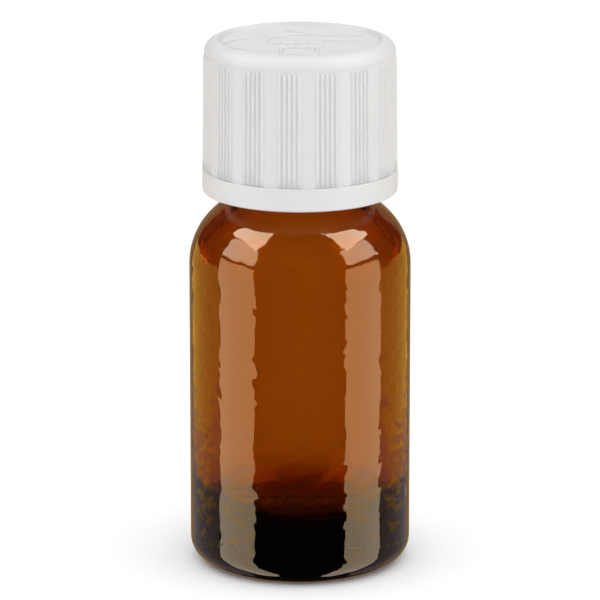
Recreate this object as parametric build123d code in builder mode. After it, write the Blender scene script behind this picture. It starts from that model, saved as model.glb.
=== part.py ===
"""Small glass medicine bottle with a two-shell push-and-turn cap, in millimetres.

The bottle stands on Z = 0 with its axis on +Z. The reading direction of the cap's
pictogram is +Y, and the front of the bottle faces -Y.
"""

from build123d import *
import os
from math import cos, radians, sin, tan

# Bottle
body_radius = 12.4
bottle_height = 55.3
wall = 1.9
heel_radius = 2.6
shoulder_corner_z = 37.9
shoulder_slope = 42.3
shoulder_radius = 8.05
neck_radius = 7.8
bore_radius = 5.4
neck_root_fillet = 1.2
lip_fillet = 0.6
foot_inner_radius = 8.2
push_up = 1.1
floor_z = 5.0
cavity_heel_radius = 5.5
bead_radius = 8.5
bead_z = 44.9
bead_height = 1.2

# Screw thread, the same helix on the glass and in the inner cap
thread_pitch = 3.0
thread_turns = 1.5
thread_depth = 0.95
thread_crest_width = 0.55
thread_flank_angle = 30.0
thread_embed = 0.3
thread_fade_angle = 40.0
glass_thread_start_z = 48.4
cap_thread_offset_z = -1.05
cap_thread_start_angle = -90.0

# Dropper insert
insert_flange_radius = 7.1
insert_flange_height = 0.6
insert_plug_radius = 5.34
insert_rib_radius = 5.44
insert_rib_z = (51.2, 52.8)
insert_rib_length = 0.8
insert_rib_height = 0.5
insert_plug_bottom_z = 49.4
insert_tip_taper = 0.2
insert_tip_length = 0.6
insert_skin = 0.7
insert_web_z = 53.0
nozzle_radius = 1.5
nozzle_taper = 0.4
nozzle_top_z = 55.7
orifice_radius = 0.55
drop_tube_bottom_z = 46.6
vent_radius = 0.4
vent_offset = 3.0

# Seal liner
liner_radius = 7.95
liner_bottom_z = 55.95
liner_thickness = 0.7
liner_chamfer = 0.08

# Inner cap
inner_outer_radius = 9.55
inner_bore_radius = 8.9
inner_seat_radius = 8.0
inner_bottom_z = 43.4
inner_seat_z = 54.7
inner_top_underside_z = 56.7
inner_top_z = 57.4
crown_fillet = 0.3
crown_radius = 8.85
tooth_top_z = 56.95
tooth_depth = 1.25
tooth_count = 12
tooth_gap_width = 3.0
lead_in = 0.4
seat_step = 0.5

# Outer cap
skirt_bottom_z = 42.7
skirt_inner_radius = 9.7
band_radius = 10.9
ledge_z = 45.31
panel_radius = 10.64
cap_top_z = 59.86
rim_fillet = 1.42
rim_inner_radius = 9.15
rim_inner_fillet = 0.06
recess_floor_radius = 8.9
recess_floor_z = 59.36
skirt_edge_fillet = 0.25
ledge_fillet = 0.12
crown_inner_fillet = 0.4
top_underside_z = 58.45
catch_radius = 9.3
catch_top_z = 43.35
catch_height = 0.3
lug_width = 2.0
lug_inner_radius = 8.95
lug_bottom_z = 57.1
lug_overlap = 0.15

# Grip ribs on the outer cap
rib_radius = 0.28
rib_crest_low = 10.87
rib_crest_high = 10.74
rib_top_z = 58.1
rib_foot_depth = 0.3
rib_groups = 16
ribs_per_group = 5
rib_pitch_angle = 2.93
first_group_angle = -96.3

# Raised pictogram in the recess of the cap
stroke_width = 0.46
stroke_height = 0.24


def round_corner(outline, x, y, radius):
    """Rounds the corner of an open sketch that is nearest to the given point."""
    fillet(outline.vertices().sort_by_distance((x, y))[0], radius)


def thread_ridge(root_radius, inward, start_z, start_angle):
    """A thread ridge on a helix that sinks into its wall at both ends.

    root_radius is the wall's radius, inward is True for a nut's thread, and the other
    two place the middle of the ridge's lower end.
    """
    side = -1 if inward else 1
    steps = int(thread_turns * 24)
    sweep_angle = thread_turns * 360
    path_points = []
    for step in range(steps + 1):
        turned = sweep_angle * step / steps
        to_end = min(turned, sweep_angle - turned)
        fade = max(0, 1 - to_end / thread_fade_angle)
        sink = (thread_depth + 0.1) * fade * fade * (3 - 2 * fade)
        radius = root_radius - side * sink
        angle = radians(start_angle + turned)
        height = start_z + thread_pitch * turned / 360
        path_points.append((radius * cos(angle), radius * sin(angle), height))

    flank = tan(radians(thread_flank_angle))
    crest_half = thread_crest_width / 2
    base_half = crest_half + (thread_depth + thread_embed) * flank
    with BuildPart() as ridge:
        with BuildLine() as path:
            Spline(path_points)
        outward = Vector(cos(radians(start_angle)), sin(radians(start_angle)), 0)
        section_plane = Plane(
            origin=path.line @ 0, x_dir=outward * side, z_dir=path.line % 0
        )
        with BuildSketch(section_plane):
            with BuildLine():
                Polyline(
                    (-thread_embed, -base_half),
                    (thread_depth, -crest_half),
                    (thread_depth, crest_half),
                    (-thread_embed, base_half),
                    close=True,
                )
            make_face()
        sweep(path=path.line, normal=(0, 0, 1))
    return ridge.part


glass_thread = thread_ridge(neck_radius, False, glass_thread_start_z, 0)
cap_thread_z = (
    glass_thread_start_z
    + cap_thread_offset_z
    + thread_pitch * cap_thread_start_angle / 360
)
cap_thread = thread_ridge(inner_bore_radius, True, cap_thread_z, cap_thread_start_angle)

# The bottle's outside and its cavity are two outlines with rounded corners, revolved.
neck_root_z = shoulder_corner_z + (body_radius - neck_radius) * tan(radians(shoulder_slope))
shoulder_turn = 90 - shoulder_slope
cavity_radius = body_radius - wall
cavity_corner_z = shoulder_corner_z - wall * tan(radians(shoulder_turn / 2))
cavity_neck_z = cavity_corner_z + (cavity_radius - bore_radius) * tan(radians(shoulder_slope))

with BuildPart() as glass_bottle:
    with BuildSketch(Plane.XZ) as outside:
        with BuildLine():
            TangentArc((0, push_up), (foot_inner_radius, 0), tangent=(1, 0))
            Polyline(
                (foot_inner_radius, 0),
                (body_radius, 0),
                (body_radius, shoulder_corner_z),
                (neck_radius, neck_root_z),
                (neck_radius, bottle_height),
                (0, bottle_height),
                (0, push_up),
            )
        make_face()
        round_corner(outside, body_radius, 0, heel_radius)
        round_corner(outside, body_radius, shoulder_corner_z, shoulder_radius)
        round_corner(outside, neck_radius, neck_root_z, neck_root_fillet)
    revolve(axis=Axis.Z)
    with BuildSketch(Plane.XZ):
        with Locations((neck_radius, bead_z)):
            SlotOverall(2 * (bead_radius - neck_radius), bead_height)
    revolve(axis=Axis.Z)
    add(glass_thread)
    with BuildSketch(Plane.XZ) as cavity:
        with BuildLine():
            Polyline(
                (0, floor_z),
                (cavity_radius, floor_z),
                (cavity_radius, cavity_corner_z),
                (bore_radius, cavity_neck_z),
                (bore_radius, bottle_height + 1),
                (0, bottle_height + 1),
                close=True,
            )
        make_face()
        round_corner(cavity, cavity_radius, floor_z, cavity_heel_radius)
        round_corner(cavity, cavity_radius, cavity_corner_z, shoulder_radius - wall)
        round_corner(cavity, bore_radius, cavity_neck_z, neck_root_fillet + wall)
    revolve(axis=Axis.Z, mode=Mode.SUBTRACT)
    lip_edges = glass_bottle.edges().filter_by(GeomType.CIRCLE).filter_by_position(
        Axis.Z, bottle_height - 0.01, bottle_height + 0.01
    )
    fillet(lip_edges, lip_fillet)
glass_bottle.part.label = "glass_bottle"

with BuildPart() as dropper_insert:
    with BuildSketch(Plane.XZ):
        with BuildLine():
            Polyline(
                (0, drop_tube_bottom_z),
                (nozzle_radius, drop_tube_bottom_z),
                (nozzle_radius, insert_web_z),
                (insert_plug_radius - insert_skin, insert_web_z),
                (insert_plug_radius - insert_skin, insert_plug_bottom_z),
                (insert_plug_radius - insert_tip_taper, insert_plug_bottom_z),
                (insert_plug_radius, insert_plug_bottom_z + insert_tip_length),
                (insert_plug_radius, bottle_height),
                (insert_flange_radius, bottle_height),
                (insert_flange_radius, bottle_height + insert_flange_height),
                (insert_plug_radius - insert_skin, bottle_height + insert_flange_height),
                (insert_plug_radius - insert_skin, insert_web_z + insert_skin),
                (nozzle_radius, insert_web_z + insert_skin),
                (nozzle_radius - nozzle_taper, nozzle_top_z),
                (0, nozzle_top_z),
                close=True,
            )
        make_face()
    revolve(axis=Axis.Z)
    with BuildSketch(Plane.XZ):
        with Locations(*[(insert_rib_radius - insert_rib_length / 2, z) for z in insert_rib_z]):
            SlotOverall(insert_rib_length, insert_rib_height)
    revolve(axis=Axis.Z)
    with Locations((0, 0, drop_tube_bottom_z)):
        Cylinder(
            orifice_radius,
            bottle_height,
            align=(Align.CENTER, Align.CENTER, Align.MIN),
            mode=Mode.SUBTRACT,
        )
    with Locations((vent_offset, 0, insert_web_z)):
        Cylinder(vent_radius, 4 * insert_skin, mode=Mode.SUBTRACT)
dropper_insert.part.label = "dropper_insert"

with BuildPart() as seal_liner:
    with BuildSketch(Plane.XY.offset(liner_bottom_z)):
        Circle(liner_radius)
    extrude(amount=liner_thickness)
    chamfer(seal_liner.edges().filter_by(GeomType.CIRCLE), liner_chamfer)
seal_liner.part.label = "seal_liner"

with BuildPart() as inner_cap:
    with BuildSketch(Plane.XZ) as shell:
        with BuildLine():
            Polyline(
                (0, inner_top_underside_z),
                (inner_seat_radius, inner_top_underside_z),
                (inner_seat_radius, inner_seat_z),
                (inner_bore_radius, inner_seat_z - seat_step),
                (inner_bore_radius, inner_bottom_z + lead_in),
                (inner_bore_radius + lead_in / 2, inner_bottom_z),
                (inner_outer_radius, inner_bottom_z),
                (inner_outer_radius, tooth_top_z),
                (crown_radius, tooth_top_z),
                (crown_radius, inner_top_z),
                (0, inner_top_z),
                close=True,
            )
        make_face()
        round_corner(shell, crown_radius, inner_top_z, crown_fillet)
    revolve(axis=Axis.Z)
    with BuildSketch(Plane.XY.offset(tooth_top_z - tooth_depth)):
        gap_length = inner_outer_radius - crown_radius + 0.3
        with PolarLocations(crown_radius + gap_length / 2, tooth_count):
            Rectangle(gap_length, tooth_gap_width)
    extrude(amount=tooth_depth, mode=Mode.SUBTRACT)
    add(cap_thread)
    # the sunken ends of the ridge are trimmed where they would come through the wall
    with BuildSketch(Plane.XY.offset(inner_bottom_z)):
        Circle(inner_outer_radius + 2 * thread_depth)
        Circle(inner_outer_radius, mode=Mode.SUBTRACT)
    extrude(amount=bottle_height - inner_bottom_z, mode=Mode.SUBTRACT)
inner_cap.part.label = "inner_cap"

# One grip rib: a round bar with a round upper end, sunk in the wall and leaning inwards.
rib_foot = (rib_crest_low - rib_radius, 0, ledge_z - rib_foot_depth)
rib_head = (rib_crest_high - rib_radius, 0, rib_top_z - rib_radius)

with BuildPart() as rib:
    with BuildLine() as rib_axis:
        Line(rib_foot, rib_head)
    with BuildSketch(Plane(origin=rib_foot, z_dir=rib_axis.line % 0)):
        Circle(rib_radius)
    sweep(path=rib_axis.line)
    with Locations(rib_head):
        Sphere(rib_radius)


def stroke(centre_line):
    """A raised line of the pictogram with round ends, in the open sketch."""
    SlotArc(centre_line, stroke_width)


with BuildPart() as outer_cap:
    with BuildSketch(Plane.XZ) as section:
        with BuildLine():
            Polyline(
                (0, top_underside_z),
                (skirt_inner_radius, top_underside_z),
                (skirt_inner_radius, catch_top_z),
                (catch_radius, catch_top_z),
                (catch_radius, catch_top_z - catch_height),
                (skirt_inner_radius, skirt_bottom_z),
                (band_radius, skirt_bottom_z),
                (band_radius, ledge_z),
                (panel_radius, ledge_z),
                (panel_radius, cap_top_z),
                (rim_inner_radius, cap_top_z),
                (recess_floor_radius, recess_floor_z),
                (0, recess_floor_z),
                close=True,
            )
        make_face()
        round_corner(section, panel_radius, cap_top_z, rim_fillet)
        round_corner(section, rim_inner_radius, cap_top_z, rim_inner_fillet)
        round_corner(section, band_radius, skirt_bottom_z, skirt_edge_fillet)
        round_corner(section, band_radius, ledge_z, ledge_fillet)
        round_corner(section, skirt_inner_radius, top_underside_z, crown_inner_fillet)
    revolve(axis=Axis.Z)
    for group in range(rib_groups):
        for member in range(ribs_per_group):
            offset_angle = (member - (ribs_per_group - 1) / 2) * rib_pitch_angle
            angle = first_group_angle + group * 360 / rib_groups + offset_angle
            with PolarLocations(0, 1, start_angle=angle):
                add(rib.part)
    with BuildSketch(Plane.XY.offset(lug_bottom_z)):
        lug_length = skirt_inner_radius + lug_overlap - lug_inner_radius
        with PolarLocations(lug_inner_radius + lug_length / 2, tooth_count):
            Rectangle(lug_length, lug_width)
    extrude(amount=top_underside_z - lug_bottom_z + lug_overlap)
    with BuildSketch(Plane.XY.offset(recess_floor_z - 0.05)):
        # a turning arrow, the forearm, the hand's fingers and the cap they hold
        stroke(Edge.make_circle(3.0, Plane((-5.2, -0.7)), 85, 275))
        stroke(Edge.make_line((-4.95, -3.7), (-5.9, -2.9)))
        stroke(Edge.make_line((-4.95, -3.7), (-5.8, -4.6)))
        stroke(Edge.make_line((0.4, 4.1), (6.6, 3.7)))
        stroke(Edge.make_line((2.2, 0.9), (7.0, 0.6)))
        stroke(Edge.make_three_point_arc((0.4, 4.1), (-2.9, 2.9), (-3.4, 0.4)))
        stroke(Edge.make_three_point_arc((-3.4, 0.4), (-2.7, -0.4), (-2.0, 0.4)))
        stroke(Edge.make_three_point_arc((-2.0, 0.4), (-1.3, -0.7), (-0.6, 0.4)))
        stroke(Edge.make_three_point_arc((-0.6, 0.4), (0.1, -0.7), (0.8, 0.4)))
        stroke(Edge.make_three_point_arc((0.8, 0.4), (1.5, -0.3), (2.2, 0.9)))
        with Locations((-0.1, -4.8)):
            RectangleRounded(4.4, 4.4, 0.9)
            RectangleRounded(
                4.4 - 2 * stroke_width,
                4.4 - 2 * stroke_width,
                0.9 - stroke_width,
                mode=Mode.SUBTRACT,
            )
        stroke(Edge.make_three_point_arc((-1.3, 6.9), (-0.7, 6.1), (0.2, 5.7)))
    extrude(amount=stroke_height + 0.05)
outer_cap.part.label = "outer_cap"

os.makedirs("parts", exist_ok=True)
for piece in (glass_bottle, dropper_insert, seal_liner, inner_cap, outer_cap):
    export_step(piece.part, f"parts/{piece.part.label}.step")
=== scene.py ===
"""A small amber glass medicine bottle with a white push-and-turn cap, dressed on its CAD frame.

Lengths are written in millimetres, and MM turns them to metres as meshes are made. Angles
are written in degrees.
"""

import logging
import math
from collections.abc import Callable, Sequence
from dataclasses import dataclass, field
from enum import Enum

import bmesh
import bpy
from mathutils import Matrix, Vector


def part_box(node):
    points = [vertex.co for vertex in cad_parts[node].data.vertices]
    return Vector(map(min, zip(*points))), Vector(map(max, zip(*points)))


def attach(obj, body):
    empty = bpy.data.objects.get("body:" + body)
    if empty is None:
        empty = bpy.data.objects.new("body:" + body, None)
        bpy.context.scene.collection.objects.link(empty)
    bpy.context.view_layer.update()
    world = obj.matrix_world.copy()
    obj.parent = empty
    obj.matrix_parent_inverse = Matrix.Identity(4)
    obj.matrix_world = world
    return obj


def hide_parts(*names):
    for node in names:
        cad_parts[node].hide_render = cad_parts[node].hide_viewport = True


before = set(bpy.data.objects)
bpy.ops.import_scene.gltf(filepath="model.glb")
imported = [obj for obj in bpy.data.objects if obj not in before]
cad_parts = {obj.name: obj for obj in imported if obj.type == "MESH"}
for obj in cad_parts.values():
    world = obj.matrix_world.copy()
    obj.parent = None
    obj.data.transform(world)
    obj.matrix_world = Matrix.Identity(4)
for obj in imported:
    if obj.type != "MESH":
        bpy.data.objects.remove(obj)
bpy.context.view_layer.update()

MM = 0.001
NEAR = 0.01  # lengths closer than this count as equal
ARC_STEP = 6  # degrees between the points of an arc, at most
BAR_SIDES = 16  # sides of a pictogram's round bar
BALL_BENDS = (30, 60, 85)  # degrees round the ball that ends a bar
log = logging.getLogger("vial")

Outline = list[tuple[float, float]]
Shape = Callable[[float, float, float], tuple[float, float]]


def linear(code: str) -> tuple[float, float, float, float]:
    """Turns an sRGB hex colour into a linear colour with full alpha.

    Args:
        code: Six hex digits, such as "F4F2EE".

    Returns:
        Linear red, green, blue and an alpha of 1.
    """
    values = [int(code[i : i + 2], 16) / 255 for i in (0, 2, 4)]
    lin = [v / 12.92 if v <= 0.04045 else ((v + 0.055) / 1.055) ** 2.4 for v in values]
    return (lin[0], lin[1], lin[2], 1.0)


def add_node(
    tree: bpy.types.NodeTree,
    kind: str,
    settings: dict[str, object] | None = None,
    links: dict[str, bpy.types.NodeSocket] | None = None,
) -> bpy.types.Node:
    """Adds a shader node, sets it and links its inputs.

    Args:
        tree: The material's node tree.
        kind: The node's type, such as "ShaderNodeTexNoise".
        settings: Values by socket name, or by property name where no socket has it.
        links: Output sockets by the name of the input that each feeds.

    Returns:
        The new node.
    """
    node = tree.nodes.new(kind)
    for name, value in (settings or {}).items():
        if name in node.inputs:
            node.inputs[name].default_value = value
        else:
            setattr(node, name, value)
    for name, source in (links or {}).items():
        tree.links.new(source, node.inputs[name])
    return node


def new_material(name: str) -> tuple[bpy.types.Material, bpy.types.NodeTree, bpy.types.Node]:
    """Makes an empty node material.

    Args:
        name: The material's name.

    Returns:
        The material, its node tree and its output node.
    """
    material = bpy.data.materials.new(name)
    material.use_nodes = True
    tree = material.node_tree
    tree.nodes.clear()
    return material, tree, tree.nodes.new("ShaderNodeOutputMaterial")


def rounded_outline(corners: Sequence[tuple[float, float, float]], step: float) -> Outline:
    """Turns corners with radii into an evenly divided outline.

    Args:
        corners: Radius from the axis, height and rounding of each corner, in order.
        step: The longest straight stretch left undivided.

    Returns:
        Points along the outline, with arcs where a corner is rounded.
    """
    points: Outline = []
    last = len(corners) - 1
    for i, (x, z, radius) in enumerate(corners):
        here = Vector((x, z))
        if radius <= 0 or i in (0, last):
            arc = [here]
        else:
            before = (Vector(corners[i - 1][:2]) - here).normalized()
            after = (Vector(corners[i + 1][:2]) - here).normalized()
            half = before.angle(after) / 2
            centre = here + (before + after).normalized() * (radius / math.sin(half))
            start = here + before * (radius / math.tan(half)) - centre
            turn = start.angle_signed(here + after * (radius / math.tan(half)) - centre)
            count = max(3, math.ceil(abs(turn) / math.radians(ARC_STEP)))
            arc = []
            for k in range(count + 1):
                a = -turn * k / count
                spun = Vector(
                    (
                        start.x * math.cos(a) - start.y * math.sin(a),
                        start.x * math.sin(a) + start.y * math.cos(a),
                    )
                )
                arc.append(centre + spun)
        if points:
            gap = arc[0] - Vector(points[-1])
            pieces = max(1, math.ceil(gap.length / step))
            for k in range(1, pieces):
                points.append(tuple(Vector(points[-1]) + gap / pieces))
        points.extend((p.x, p.y) for p in arc)
    return points


def even_angles(count: int) -> list[float]:
    """Returns evenly spaced angles of a full turn, in degrees."""
    return [360 * k / count for k in range(count)]


def plain(radius: float, height: float, angle: float) -> tuple[float, float]:
    """Leaves a point of an outline where it is, at every angle."""
    return radius, height


def eased(share: float) -> float:
    """Returns a share from 0 to 1 with a gentle start and end."""
    return share * share * (3 - 2 * share)


def lathe(
    name: str, outline: Outline, angles: Sequence[float], shape: Shape = plain
) -> bpy.types.Object:
    """Turns an outline round the Z axis into a smooth mesh.

    The mesh is closed where the outline both starts and ends on the axis.

    Args:
        name: The new object's name.
        outline: Radius and height of points along the section.
        angles: The angles of the mesh's columns, in degrees.
        shape: Moves a point, given its radius, height and angle.

    Returns:
        The new object, linked to the scene.
    """
    bm = bmesh.new()
    rows = []
    for radius, height in outline:
        if radius == 0:
            rows.append([bm.verts.new((0, 0, height * MM))])
            continue
        row = []
        for angle in angles:
            r, z = shape(radius, height, angle)
            a = math.radians(angle)
            row.append(bm.verts.new((r * math.cos(a) * MM, r * math.sin(a) * MM, z * MM)))
        rows.append(row)
    count = len(angles)
    for low, high in zip(rows, rows[1:]):
        for k in range(count):
            n = (k + 1) % count
            if len(low) == 1:
                bm.faces.new((low[0], high[n], high[k]))
            elif len(high) == 1:
                bm.faces.new((low[k], low[n], high[0]))
            else:
                bm.faces.new((low[k], low[n], high[n], high[k]))
    return finish_mesh(name, bm)


def finish_mesh(name: str, bm: bmesh.types.BMesh) -> bpy.types.Object:
    """Turns a bmesh into a smooth object with its faces outwards.

    Args:
        name: The new object's name.
        bm: The mesh, which is freed.

    Returns:
        The new object, linked to the scene.
    """
    bmesh.ops.recalc_face_normals(bm, faces=bm.faces)
    for face in bm.faces:
        face.smooth = True
    mesh = bpy.data.meshes.new(name)
    bm.to_mesh(mesh)
    bm.free()
    piece = bpy.data.objects.new(name, mesh)
    bpy.context.scene.collection.objects.link(piece)
    return piece


@dataclass(frozen=True)
class Stroke:
    """A raised line of a pictogram, given by its centre line."""

    points: list[tuple[float, float]]
    closed: bool = False


def arc_points(
    centre: tuple[float, float], radius: float, start: float, end: float
) -> list[tuple[float, float]]:
    """Returns points along an arc.

    Args:
        centre: The arc's centre.
        radius: The arc's radius.
        start: The first point's angle, in degrees.
        end: The last point's angle, in degrees.

    Returns:
        Points along the arc, ARC_STEP degrees apart or a little less.
    """
    count = max(2, math.ceil(abs(end - start) / ARC_STEP))
    points = []
    for k in range(count + 1):
        a = math.radians(start + (end - start) * k / count)
        points.append((centre[0] + radius * math.cos(a), centre[1] + radius * math.sin(a)))
    return points


def arc_through(
    first: tuple[float, float], middle: tuple[float, float], last: tuple[float, float]
) -> list[tuple[float, float]]:
    """Returns points along the arc that runs through three points.

    Args:
        first: The arc's first point.
        middle: Any point of the arc between its ends.
        last: The arc's last point.

    Returns:
        Points along the arc, from the first to the last.
    """
    a, b, c = Vector(first), Vector(middle), Vector(last)
    to_b, to_c = b - a, c - a
    twice = 2 * (to_b.x * to_c.y - to_b.y * to_c.x)
    x = (to_c.y * to_b.length_squared - to_b.y * to_c.length_squared) / twice
    y = (to_b.x * to_c.length_squared - to_c.x * to_b.length_squared) / twice
    centre = a + Vector((x, y))
    start = math.atan2(*(a - centre).yx)
    turn = (math.atan2(*(c - centre).yx) - start) % (2 * math.pi)
    if (math.atan2(*(b - centre).yx) - start) % (2 * math.pi) > turn:
        turn -= 2 * math.pi
    return arc_points(
        (centre.x, centre.y), (a - centre).length, math.degrees(start), math.degrees(start + turn)
    )


def round_bar(bm: bmesh.types.BMesh, stroke: Stroke, radius: float, height: float) -> None:
    """Adds a round bar along a stroke, with ball ends where the stroke is open.

    Args:
        bm: The mesh that the bar is added to.
        stroke: The centre line.
        radius: The bar's radius.
        height: The height of the centre line above the base.
    """
    line = [Vector((x, y, height)) for x, y in stroke.points]
    count = len(line)
    places: list[tuple[Vector, Vector, float]] = []
    for k, here in enumerate(line):
        before = line[(k - 1) % count] if stroke.closed or k else here
        after = line[(k + 1) % count] if stroke.closed or k < count - 1 else here
        places.append((here, (after - before).normalized(), radius))
    if not stroke.closed:
        for at_end in (False, True):
            here, along, _ = places[-1 if at_end else 0]
            for bend in BALL_BENDS:
                a = math.radians(bend)
                out = along * (radius * math.sin(a) * (1 if at_end else -1))
                ring = (here + out, along, radius * math.cos(a))
                places.insert(len(places) if at_end else 0, ring)
    rings = []
    for here, along, size in places:
        side = along.cross(Vector((0, 0, 1)))
        ring = []
        for k in range(BAR_SIDES):
            a = 2 * math.pi * k / BAR_SIDES
            offset = side * (size * math.cos(a)) + Vector((0, 0, size * math.sin(a)))
            ring.append(bm.verts.new((here + offset) * MM))
        rings.append(ring)
    pairs = list(zip(rings, rings[1:]))
    if stroke.closed:
        pairs.append((rings[-1], rings[0]))
    else:
        bm.faces.new(rings[0])
        bm.faces.new(rings[-1])
    for low, high in pairs:
        for k in range(BAR_SIDES):
            n = (k + 1) % BAR_SIDES
            bm.faces.new((low[k], low[n], high[n], high[k]))


def rounded_block(
    bm: bmesh.types.BMesh,
    low: tuple[float, float, float],
    high: tuple[float, float, float],
    rounding: float,
    turned: Matrix,
) -> None:
    """Adds a block with rounded edges.

    Args:
        bm: The mesh that the block is added to.
        low: The block's lowest corner before it is turned.
        high: The block's highest corner before it is turned.
        rounding: The radius of the edges.
        turned: The turn given to the finished block.
    """
    middle = (Vector(low) + Vector(high)) / 2
    size = Vector(high) - Vector(low)
    scaled = Matrix.Diagonal((*(size * MM), 1.0))
    place = turned @ Matrix.Translation(middle * MM) @ scaled
    corners = bmesh.ops.create_cube(bm, size=1.0, matrix=place)["verts"]
    edges = list({edge for corner in corners for edge in corner.link_edges})
    bmesh.ops.bevel(
        bm, geom=edges, offset=rounding * MM, segments=3, profile=0.5, affect="EDGES"
    )


@dataclass(frozen=True)
class AmberGlass:
    """Amber soda-lime glass, blown in a mould.

    Iron and sulphur in the melt swallow the blue and half the green, so a thin wall is
    honey coloured and two walls are deep brown. The mould leaves a faint orange peel,
    which makes the edges of reflected lights waver. Reflections are a little warm, since
    part of each comes back from inside the wall.
    """

    name: str = "amber_soda_lime_glass_blown"
    through: str = "E6C636"  # the tint that the glass lets through
    density: float = 1950.0  # how strongly it is dyed, per metre of glass
    reflected: str = "FFDEB0"
    ior: float = 1.52
    peel_mm: float = 1.4
    peel_depth_mm: float = 0.05

    def make(self) -> bpy.types.Material:
        """Builds the node material.

        Returns:
            The new material.
        """
        material, tree, output = new_material(self.name)
        place = add_node(tree, "ShaderNodeTexCoord")
        waves = add_node(
            tree,
            "ShaderNodeTexNoise",
            {"Scale": 1 / (self.peel_mm * MM), "Detail": 1.0, "Roughness": 0.4},
            {"Vector": place.outputs["Object"]},
        )
        bump = add_node(
            tree,
            "ShaderNodeBump",
            {"Strength": 1.0, "Distance": self.peel_depth_mm * MM},
            {"Height": waves.outputs["Fac"]},
        )
        shader = add_node(
            tree,
            "ShaderNodeBsdfPrincipled",
            {
                "Base Color": (1, 1, 1, 1),
                "Roughness": 0.0,
                "IOR": self.ior,
                "Transmission Weight": 1.0,
                "Specular Tint": linear(self.reflected),
            },
            {"Normal": bump.outputs["Normal"]},
        )
        depth = add_node(
            tree,
            "ShaderNodeVolumeAbsorption",
            {"Color": linear(self.through), "Density": self.density},
        )
        tree.links.new(shader.outputs["BSDF"], output.inputs["Surface"])
        tree.links.new(depth.outputs["Volume"], output.inputs["Volume"])
        return material


@dataclass(frozen=True)
class MouldedPlastic:
    """White polyethylene or polypropylene, injection moulded in an eroded steel mould.

    The pigment scatters light inside the wall, so thin ribs and edges glow softly, and
    the mould's fine grain gives a broad satin sheen with no sharp reflection.
    """

    name: str = "white_polyethylene_injection_moulded"
    colour: str = "CACACA"
    roughness: float = 0.55
    sheen_low: float = 0.05
    sheen_high: float = 0.07
    sheen_mm: float = 6.0
    ior: float = 1.51
    specular: float = 0.35
    scatter: float = 0.12
    scatter_mm: float = 0.3
    grain_mm: float = 0.16
    grain_depth_mm: float = 0.002

    def make(self) -> bpy.types.Material:
        """Builds the node material.

        Returns:
            The new material.
        """
        material, tree, output = new_material(self.name)
        place = add_node(tree, "ShaderNodeTexCoord")
        # the real grain is about 0.03 mm, too fine to show, so it is drawn coarser
        grain = add_node(
            tree,
            "ShaderNodeTexNoise",
            {"Scale": 1 / (self.grain_mm * MM), "Detail": 3.0, "Roughness": 0.6},
            {"Vector": place.outputs["Object"]},
        )
        # cooling is uneven over a few millimetres, so the sheen drifts slowly
        cloud = add_node(
            tree,
            "ShaderNodeTexNoise",
            {"Scale": 1 / (self.sheen_mm * MM), "Detail": 2.0},
            {"Vector": place.outputs["Object"]},
        )
        sheen = add_node(
            tree,
            "ShaderNodeMapRange",
            {
                "To Min": self.roughness - self.sheen_low,
                "To Max": self.roughness + self.sheen_high,
            },
            {"Value": cloud.outputs["Fac"]},
        )
        bump = add_node(
            tree,
            "ShaderNodeBump",
            {"Strength": 1.0, "Distance": self.grain_depth_mm * MM},
            {"Height": grain.outputs["Fac"]},
        )
        shader = add_node(
            tree,
            "ShaderNodeBsdfPrincipled",
            {
                "Base Color": linear(self.colour),
                "IOR": self.ior,
                "Specular IOR Level": self.specular,
                "Subsurface Weight": self.scatter,
                "Subsurface Radius": (1.0, 0.95, 0.9),
                "Subsurface Scale": self.scatter_mm * MM,
            },
            {"Normal": bump.outputs["Normal"], "Roughness": sheen.outputs["Result"]},
        )
        tree.links.new(shader.outputs["BSDF"], output.inputs["Surface"])
        return material


@dataclass(frozen=True)
class StudioPaper:
    """Seamless white background paper, calendered.

    Rolling presses the fibres nearly flat, so the paper is pale, matt and even, with
    only a trace of tooth.
    """

    name: str = "white_background_paper"
    colour: str = "F6F6F7"
    roughness: float = 0.9
    fibre_mm: float = 0.5
    fibre_depth_mm: float = 0.01

    def make(self) -> bpy.types.Material:
        """Builds the node material.

        Returns:
            The new material.
        """
        material, tree, output = new_material(self.name)
        place = add_node(tree, "ShaderNodeTexCoord")
        fibres = add_node(
            tree,
            "ShaderNodeTexNoise",
            {"Scale": 1 / (self.fibre_mm * MM), "Detail": 3.0},
            {"Vector": place.outputs["Object"]},
        )
        bump = add_node(
            tree,
            "ShaderNodeBump",
            {"Strength": 0.2, "Distance": self.fibre_depth_mm * MM},
            {"Height": fibres.outputs["Fac"]},
        )
        shader = add_node(
            tree,
            "ShaderNodeBsdfPrincipled",
            {"Base Color": linear(self.colour), "Roughness": self.roughness},
            {"Normal": bump.outputs["Normal"]},
        )
        tree.links.new(shader.outputs["BSDF"], output.inputs["Surface"])
        return material


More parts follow.
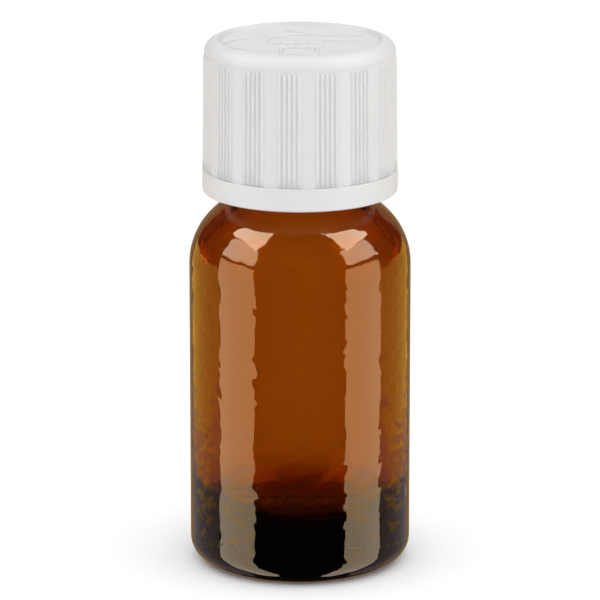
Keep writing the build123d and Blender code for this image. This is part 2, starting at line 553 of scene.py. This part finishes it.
@dataclass
class GlassBottle:
    """The blown bottle: body, shoulder, screw neck and the cavity inside."""

    radius: float
    height: float
    wall: float = 1.9
    heel: float = 2.6
    shoulder_corner: float = 37.9
    shoulder_slope: float = 42.3
    shoulder_round: float = 8.05
    neck_radius: float = 7.8
    bore_radius: float = 5.4
    neck_round: float = 1.2
    lip_round: float = 0.6
    bore_end: float = 2.0
    finish_height: float = 12.0
    foot_radius: float = 8.2
    foot_round: float = 1.5
    push_up: float = 1.1
    push_up_radius: float = 3.69
    push_up_round: float = 7.0
    floor_height: float = 5.0
    cavity_heel: float = 5.5
    bead_height: float = 44.9
    bead_depth: float = 0.7
    bead_half: float = 0.6
    thread_start: float = 48.4
    thread_pitch: float = 3.0
    thread_turns: float = 1.5
    thread_depth: float = 0.95
    thread_crest_half: float = 0.28
    thread_root_half: float = 0.83
    thread_fade: float = 40.0
    columns: int = 288
    step: float = 0.6
    finish_step: float = 0.11

    def outline(self) -> Outline:
        """Draws the glass wall's section, from under the base round to the cavity's floor.

        Returns:
            Radius and height of points along the section.
        """
        slope = math.tan(math.radians(self.shoulder_slope))
        neck_z = self.shoulder_corner + (self.radius - self.neck_radius) * slope
        inner = self.radius - self.wall
        turn = math.radians(90 - self.shoulder_slope) / 2
        inner_corner = self.shoulder_corner - self.wall * math.tan(turn)
        inner_neck = inner_corner + (inner - self.bore_radius) * slope
        finish_low = self.height - self.finish_height
        bore_low = self.height - self.bore_end
        base = rounded_outline(
            [
                (0, self.push_up, 0),
                (self.push_up_radius, self.push_up, self.push_up_round),
                (self.foot_radius, 0, self.foot_round),
                (self.radius, 0, self.heel),
                (self.radius, self.shoulder_corner, self.shoulder_round),
                (self.neck_radius, neck_z, self.neck_round),
                (self.neck_radius, finish_low, 0),
            ],
            self.step,
        )
        neck = rounded_outline(
            [
                (self.neck_radius, finish_low, 0),
                (self.neck_radius, self.height, self.lip_round),
                (self.bore_radius, self.height, self.lip_round),
                (self.bore_radius, bore_low, 0),
            ],
            self.finish_step,
        )
        cavity = rounded_outline(
            [
                (self.bore_radius, bore_low, 0),
                (self.bore_radius, inner_neck, self.neck_round + self.wall),
                (inner, inner_corner, self.shoulder_round - self.wall),
                (inner, self.floor_height, self.cavity_heel),
                (0, self.floor_height, 0),
            ],
            self.step,
        )
        return base[:-1] + neck[:-1] + cavity

    def thread_and_bead(self, radius: float, height: float, angle: float) -> tuple[float, float]:
        """Raises the screw thread and the neck bead out of the neck's wall.

        Args:
            radius: Distance from the axis.
            height: Height above the base.
            angle: Angle round the axis, in degrees.

        Returns:
            The moved radius and the height.
        """
        on_neck = abs(radius - self.neck_radius) < NEAR
        if not on_neck or height < self.bead_height - self.bead_half:
            return radius, height
        rise = 0.0
        for turn in range(math.ceil(self.thread_turns)):
            turned = angle + 360 * turn
            to_end = min(turned, self.thread_turns * 360 - turned)
            if to_end <= 0:
                continue
            grown = eased(min(1.0, to_end / self.thread_fade))
            middle = self.thread_start + self.thread_pitch * turned / 360
            flank = self.thread_root_half - self.thread_crest_half
            share = (self.thread_root_half - abs(height - middle)) / flank
            share = max(0.0, min(1.0, share))
            rise = max(rise, self.thread_depth * grown * eased(share))
        off = (height - self.bead_height) / self.bead_half
        if abs(off) < 1:
            rise = max(rise, self.bead_depth * math.sqrt(1 - off * off))
        return radius + rise, height

    def build(self, finish: AmberGlass) -> bpy.types.Object:
        """Makes the bottle, in glass, in place of its CAD node.

        Args:
            finish: The glass.

        Returns:
            The bottle's piece.
        """
        piece = lathe(
            "bottle_glass", self.outline(), even_angles(self.columns), self.thread_and_bead
        )
        piece.data.materials.append(finish.make())
        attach(piece, "bottle")
        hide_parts("glass_bottle")
        return piece


@dataclass
class OuterCap:
    """The outer shell of the cap: skirt, band, grip ribs and the recessed top."""

    low: float
    high: float
    band_radius: float
    ledge: float = 45.31
    ledge_round: float = 0.12
    ledge_corner: float = 0.04
    ledge_strip: float = 0.08
    band_foot_round: float = 0.25
    panel_radius: float = 10.64
    skirt_inside: float = 9.7
    skirt_edge: float = 0.05
    rim_round: float = 1.42
    rim_inner: float = 9.15
    rim_edge: float = 0.06
    recess_radius: float = 8.9
    recess_depth: float = 0.5
    recess_round: float = 0.08
    top_inside: float = 58.45
    top_inside_round: float = 0.4
    catch_radius: float = 9.3
    catch_top: float = 43.35
    catch_height: float = 0.3
    catch_round: float = 0.08
    rib_radius: float = 0.21
    rib_height: float = 0.2
    rib_crest_low: float = 10.87
    rib_crest_high: float = 10.74
    rib_top: float = 58.1
    rib_head_zone: float = 0.8
    rib_clear: float = 0.1
    rib_groups: int = 16
    ribs_per_group: int = 5
    rib_pitch: float = 2.93
    first_group: float = -96.3
    rib_samples: int = 10
    panel_samples: int = 8
    wall_step: float = 1.5
    rib_head_step: float = 0.04
    crown_step: float = 1.2
    stroke_radius: float = 0.23
    little_cap_round: float = 0.67
    lugs: int = 12
    lug_low: tuple[float, float, float] = (8.95, -1.0, 57.1)
    lug_high: tuple[float, float, float] = (9.85, 1.0, 58.75)
    lug_round: float = 0.2

    def group_span(self) -> float:
        """Returns half the angle that a group of ribs covers."""
        return self.ribs_per_group * self.rib_pitch / 2

    def angles(self) -> list[float]:
        """Spaces the shell's columns, with the same few on every rib.

        Returns:
            The columns' angles in degrees, in order round the axis.
        """
        found = []
        for group in range(self.rib_groups):
            middle = self.first_group + 360 * group / self.rib_groups
            start = middle - self.group_span()
            count = self.ribs_per_group * self.rib_samples
            found += [start + 2 * self.group_span() * k / count for k in range(count)]
            gap = 360 / self.rib_groups - 2 * self.group_span()
            start = middle + self.group_span()
            found += [start + gap * k / self.panel_samples for k in range(self.panel_samples)]
        return found

    def ribs(self, radius: float, height: float, angle: float) -> tuple[float, float]:
        """Tapers the panel and raises the grip ribs out of it.

        Args:
            radius: Distance from the axis.
            height: Height above the base.
            angle: Angle round the axis, in degrees.

        Returns:
            The moved radius and the height.
        """
        above_ribs = height > self.rib_top + self.rib_clear + NEAR
        if above_ribs or abs(radius - self.panel_radius) > NEAR:
            return radius, height
        head = self.rib_top - self.rib_radius
        share = (height - self.ledge) / (head - self.ledge)
        crest = self.rib_crest_low + (self.rib_crest_high - self.rib_crest_low) * share
        panel = crest - self.rib_height
        spacing = 360 / self.rib_groups
        from_group = (angle - self.first_group + spacing / 2) % spacing - spacing / 2
        if abs(from_group) > self.group_span():
            return panel, height
        from_rib = (from_group + self.group_span()) % self.rib_pitch - self.rib_pitch / 2
        axis = crest - self.rib_radius
        aside = axis * math.sin(math.radians(from_rib))
        above = max(0.0, height - head)
        left = max(0.0, self.rib_radius**2 - aside**2 - above**2)
        return max(panel, axis + math.sqrt(left)), height

    def outline(self) -> Outline:
        """Draws the shell's section, from inside its top down, out and up to the recess.

        Returns:
            Radius and height of points along the section.
        """
        floor = self.high - self.recess_depth
        foot = self.rib_crest_low - self.rib_height
        wall_low = self.ledge + self.ledge_strip
        head_low = self.rib_top - self.rib_head_zone
        head_high = self.rib_top + self.rib_clear
        inside = rounded_outline(
            [
                (0, self.top_inside, 0),
                (self.skirt_inside, self.top_inside, self.top_inside_round),
                (self.skirt_inside, self.catch_top, self.skirt_edge),
                (self.catch_radius, self.catch_top, self.catch_round),
                (self.catch_radius, self.catch_top - self.catch_height, self.catch_round),
                (self.skirt_inside, self.low, self.skirt_edge),
                (self.band_radius, self.low, self.band_foot_round),
                (self.band_radius, self.ledge, self.ledge_round),
                # a tiny round here keeps the smooth shading off the ledge's flat
                (foot, self.ledge, self.ledge_corner),
                (foot, wall_low, 0),
            ],
            self.wall_step,
        )
        wall = rounded_outline(
            [(self.panel_radius, wall_low, 0), (self.panel_radius, head_low, 0)],
            self.wall_step,
        )
        rib_heads = rounded_outline(
            [(self.panel_radius, head_low, 0), (self.panel_radius, head_high, 0)],
            self.rib_head_step,
        )
        crown = rounded_outline(
            [
                (self.panel_radius, head_high, 0),
                (self.panel_radius, self.high, self.rim_round),
                (self.rim_inner, self.high, self.rim_edge),
                (self.recess_radius, floor, self.recess_round),
                (0, floor, 0),
            ],
            self.crown_step,
        )
        return inside[:-1] + wall[:-1] + rib_heads[:-1] + crown

    def strokes(self) -> list[Stroke]:
        """Draws the pictogram: a turning arrow, and a hand over a little cap.

        Returns:
            The centre lines of its strokes, seen from above.
        """
        shaft = Stroke(arc_points((-5.2, -0.7), 3.0, 85, 275))
        barbs = [Stroke([(-4.95, -3.7), (-5.9, -2.9)]), Stroke([(-4.95, -3.7), (-5.8, -4.6)])]
        forearm = [Stroke([(0.4, 4.1), (6.6, 3.7)]), Stroke([(2.2, 0.9), (7.0, 0.6)])]
        hand = [
            Stroke(arc_through((0.4, 4.1), (-2.9, 2.9), (-3.4, 0.4))),
            Stroke(arc_through((-3.4, 0.4), (-2.7, -0.4), (-2.0, 0.4))),
            Stroke(arc_through((-2.0, 0.4), (-1.3, -0.7), (-0.6, 0.4))),
            Stroke(arc_through((-0.6, 0.4), (0.1, -0.7), (0.8, 0.4))),
            Stroke(arc_through((0.8, 0.4), (1.5, -0.3), (2.2, 0.9))),
            Stroke(arc_through((-1.3, 6.9), (-0.7, 6.1), (0.2, 5.7))),
        ]
        corners: list[tuple[float, float]] = []
        for k, (x, y) in enumerate(((1.2, -3.5), (-1.4, -3.5), (-1.4, -6.1), (1.2, -6.1))):
            corners += arc_points((x, y), self.little_cap_round, 90 * k, 90 * k + 90)
        return [shaft, *barbs, *forearm, *hand, Stroke(corners, closed=True)]

    def build_pictogram(self, finish: bpy.types.Material) -> bpy.types.Object:
        """Makes the raised strokes, half sunk in the recess's floor.

        Args:
            finish: The shell's material.

        Returns:
            The pictogram's piece.
        """
        bm = bmesh.new()
        for stroke in self.strokes():
            round_bar(bm, stroke, self.stroke_radius, self.high - self.recess_depth)
        return self.on_cap(finish_mesh("cap_pictogram", bm), finish)

    def build_lugs(self, finish: bpy.types.Material) -> bpy.types.Object:
        """Makes the ring of driving lugs that hangs from the underside of the top.

        Args:
            finish: The shell's material.

        Returns:
            The lugs' piece.
        """
        bm = bmesh.new()
        for k in range(self.lugs):
            turned = Matrix.Rotation(2 * math.pi * k / self.lugs, 4, "Z")
            rounded_block(bm, self.lug_low, self.lug_high, self.lug_round, turned)
        return self.on_cap(finish_mesh("cap_lugs", bm), finish)

    def on_cap(self, piece: bpy.types.Object, finish: bpy.types.Material) -> bpy.types.Object:
        """Gives a piece of the shell its material and body.

        Args:
            piece: The piece.
            finish: The shell's material.

        Returns:
            The same piece.
        """
        piece.data.materials.append(finish)
        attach(piece, "outer_cap")
        return piece

    def build(self, finish: MouldedPlastic) -> list[bpy.types.Object]:
        """Makes the shell, its lugs and its pictogram in place of the CAD node.

        Args:
            finish: The shell's plastic.

        Returns:
            The shell, the lugs and the pictogram.
        """
        material = finish.make()
        shell = lathe("cap_shell", self.outline(), self.angles(), self.ribs)
        self.on_cap(shell, material)
        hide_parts("outer_cap")
        return [shell, self.build_lugs(material), self.build_pictogram(material)]


@dataclass
class HiddenPart:
    """A moulded part under the cap, which keeps its CAD mesh under a better material."""

    node: str
    finish: MouldedPlastic

    def dress(self) -> bpy.types.Object:
        """Gives the CAD node its plastic.

        Returns:
            The dressed node.
        """
        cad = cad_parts[self.node]
        cad.data.materials.clear()
        cad.data.materials.append(self.finish.make())
        return cad


class LightSeen(Enum):
    """What an area light acts on."""

    MATT = "matt surfaces only"
    REFLECTIONS = "reflections only"


@dataclass
class SoftBox:
    """A rectangular softbox or lit card that faces a point on the bottle's axis.

    Its azimuth is counted to the right from the front and its elevation up from level, both
    from the point that it faces, aim_height above the base. Radiance is how bright its face
    looks, where 1 is white.
    """

    name: str
    azimuth: float
    elevation: float
    distance: float
    width: float
    height: float
    radiance: float
    aim_height: float = 38.0
    colour: str = "FFFFFF"
    seen: LightSeen = LightSeen.REFLECTIONS

    def build(self) -> bpy.types.Object:
        """Adds the light to the scene.

        Returns:
            The light.
        """
        data = bpy.data.lights.new(self.name, "AREA")
        data.shape = "RECTANGLE"
        data.size = self.width * MM
        data.size_y = self.height * MM
        data.color = linear(self.colour)[:3]
        # a rectangle's radiance is its power over its area and pi
        data.energy = self.radiance * math.pi * data.size * data.size_y
        lamp = bpy.data.objects.new(self.name, data)
        bpy.context.scene.collection.objects.link(lamp)
        a, e = math.radians(self.azimuth), math.radians(self.elevation)
        away = Vector((math.cos(e) * math.sin(a), -math.cos(e) * math.cos(a), math.sin(e)))
        lamp.location = (Vector((0, 0, self.aim_height)) + away * self.distance) * MM
        lamp.rotation_euler = away.to_track_quat("Z", "Y").to_euler()
        lamp.visible_diffuse = self.seen is LightSeen.MATT
        lamp.visible_glossy = self.seen is LightSeen.REFLECTIONS
        return lamp


@dataclass
class Studio:
    """The pale floor, the softboxes, the dark room round them and the camera."""

    camera_back: float = 500.0
    camera_height: float = 164.09
    camera_tilt: float = 15.02
    lens: float = 276.9
    sensor: float = 36.0
    floor_reach: float = 1500.0
    floor_round: float = 500.0
    floor_edge_height: float = 1300.0
    floor_step: float = 150.0
    floor_columns: int = 96
    room: float = 0.02
    boxes: list[SoftBox] = field(default_factory=list)

    def build_camera(self) -> None:
        """Adds the camera and makes it the scene's own."""
        data = bpy.data.cameras.new("camera")
        data.sensor_width = self.sensor
        data.lens = self.lens
        data.clip_start = 0.01
        data.clip_end = 10
        camera = bpy.data.objects.new("camera", data)
        bpy.context.scene.collection.objects.link(camera)
        camera.location = (0, -self.camera_back * MM, self.camera_height * MM)
        camera.rotation_euler = (math.radians(90 - self.camera_tilt), 0, 0)
        bpy.context.scene.camera = camera

    def build_floor(self, finish: StudioPaper) -> None:
        """Lays the paper floor, which sweeps up all round into a wall.

        Args:
            finish: The paper.
        """
        sweep = rounded_outline(
            [
                (0, 0, 0),
                (self.floor_reach, 0, self.floor_round),
                (self.floor_reach, self.floor_edge_height, 0),
            ],
            self.floor_step,
        )
        floor = lathe("paper_floor", sweep, even_angles(self.floor_columns))
        floor.data.materials.append(finish.make())
        # the glass and the cap mirror the dark room, as beside a small sheet of paper
        floor.visible_glossy = False

    def build_light(self) -> None:
        """Adds the softboxes and the room's own faint light."""
        for box in self.boxes:
            box.build()
        world = bpy.data.worlds.new("room")
        world.use_nodes = True
        shade = world.node_tree.nodes["Background"]
        shade.inputs["Color"].default_value = (1, 1, 1, 1)
        shade.inputs["Strength"].default_value = self.room
        bpy.context.scene.world = world
        bpy.context.scene.view_settings.view_transform = "Standard"


def soft_boxes() -> list[SoftBox]:
    """Plans the lights: three for the matt cap and paper, and the rest for reflections.

    Returns:
        The softboxes and cards, with those at the sides in mirrored pairs.
    """
    matt = LightSeen.MATT
    boxes = [
        SoftBox(
            "top_light", azimuth=0, elevation=84, distance=600,
            width=2200, height=2200, radiance=1.32, seen=matt,
        ),
        SoftBox(
            "front_light", azimuth=15, elevation=8, distance=300,
            width=120, height=160, radiance=1.6, seen=matt,
        ),
        SoftBox(
            "right_light", azimuth=62, elevation=12, distance=300,
            width=120, height=160, radiance=0.3, seen=matt,
        ),
    ]
    for side, name in ((-1, "left"), (1, "right")):
        boxes += [
            # the tall pale stripe down the side of the glass
            SoftBox(
                f"{name}_foot_box", azimuth=side * 69, elevation=0, distance=300,
                width=240, height=1116, radiance=3.6, aim_height=-642,
            ),
            SoftBox(
                f"{name}_body_box", azimuth=side * 69, elevation=0, distance=300,
                width=240, height=183, radiance=4.7, aim_height=7.5, colour="FFE7C0",
            ),
            # its bright top, which leans in over the shoulder
            SoftBox(
                f"{name}_shoulder_box", azimuth=side * 72, elevation=0, distance=300,
                width=230, height=160, radiance=6.5, aim_height=206,
            ),
            SoftBox(
                f"{name}_high_box", azimuth=side * 81, elevation=0, distance=300,
                width=280, height=950, radiance=10.5, aim_height=761,
            ),
            # gold cards behind, which warm the side of the glass above the thick base
            SoftBox(
                f"{name}_card", azimuth=side * 120, elevation=0, distance=400,
                width=426, height=142, radiance=1.35, aim_height=-33, colour="FFCB50",
            ),
            SoftBox(
                f"{name}_low_card", azimuth=side * 120, elevation=0, distance=400,
                width=426, height=14, radiance=0.8, aim_height=-111, colour="FFD090",
            ),
            # a dim card under them, for the dark foot
            SoftBox(
                f"{name}_dim_card", azimuth=side * 120, elevation=0, distance=400,
                width=426, height=700, radiance=0.42, aim_height=-468, colour="F6E2EC",
            ),
        ]
    # a warm card behind the bottle, seen through the whole body
    boxes.append(
        SoftBox(
            "back_card", azimuth=180, elevation=0, distance=400,
            width=520, height=900, radiance=0.4, colour="FFD08A",
        )
    )
    return boxes


def hidden_parts() -> list[HiddenPart]:
    """Lists the three parts under the cap with their plastics.

    Returns:
        The parts, from the neck outwards.
    """
    return [
        # no pigment, so it is milky with a cool cast
        HiddenPart("dropper_insert", MouldedPlastic("natural_polyethylene_moulded", "E4E8E8")),
        # a skin over fine foam, so it is duller and a touch warmer than the caps
        HiddenPart("seal_liner", MouldedPlastic("foamed_polyethylene_film_faced", "F2F2EF", 0.6)),
        # harder than polyethylene and from a polished mould, so it shines more
        HiddenPart("inner_cap", MouldedPlastic("white_polypropylene_moulded", "EFEFEC", 0.34)),
    ]


def main() -> None:
    """Builds the studio and dresses every piece of the vial."""
    logging.basicConfig(level=logging.INFO)
    studio = Studio(boxes=soft_boxes())
    studio.build_camera()
    studio.build_floor(StudioPaper())
    studio.build_light()

    _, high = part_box("glass_bottle")
    bottle = GlassBottle(radius=high[0] / MM, height=high[2] / MM)
    log.info("made %s", bottle.build(AmberGlass()).name)

    low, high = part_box("outer_cap")
    cap = OuterCap(low=low[2] / MM, high=high[2] / MM, band_radius=high[0] / MM)
    for piece in cap.build(MouldedPlastic()):
        log.info("made %s", piece.name)

    for part in hidden_parts():
        log.info("dressed %s", part.dress().name)


if __name__ == "__main__":
    main()
